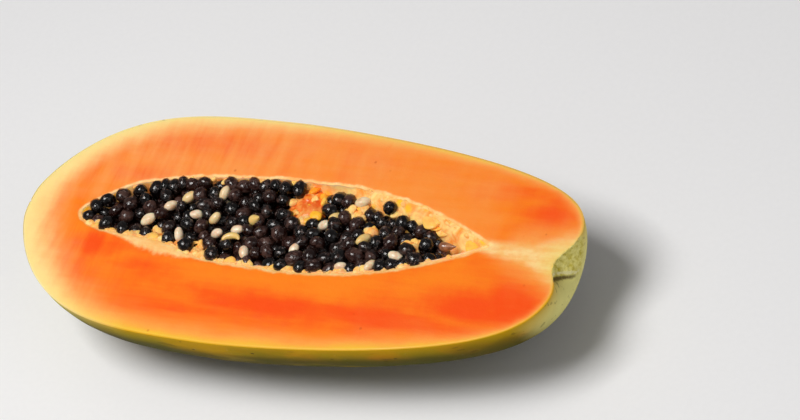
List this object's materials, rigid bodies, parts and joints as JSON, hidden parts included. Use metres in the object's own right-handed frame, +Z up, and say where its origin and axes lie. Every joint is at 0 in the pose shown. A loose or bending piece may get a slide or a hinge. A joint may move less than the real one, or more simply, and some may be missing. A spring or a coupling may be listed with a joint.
{
  "type": "papaya half",
  "caption": "Ripe papaya cut lengthwise, lying on its rounded back with the cut face up and a heap of dark seeds in its hollow.",
  "frame": {"origin": "middle of the object's bounding box in plan, on the surface that it lies on", "axes": "+X along the fruit towards the stem end, +Z up out of the cut face"},
  "size_m": [0.269, 0.1194, 0.0532],
  "materials": {
    "skin_and_flesh": "moist orange flesh with a pale yellow rim, inside thin waxy skin that is mottled yellow and green",
    "seeds": "wet, near-black wrinkled seeds in thin clear coats, with a few small cream ones"
  },
  "bodies": {
    "root": {"papaya_half": "skin_and_flesh", "seeds": "seeds"}
  },
  "joints": []
}
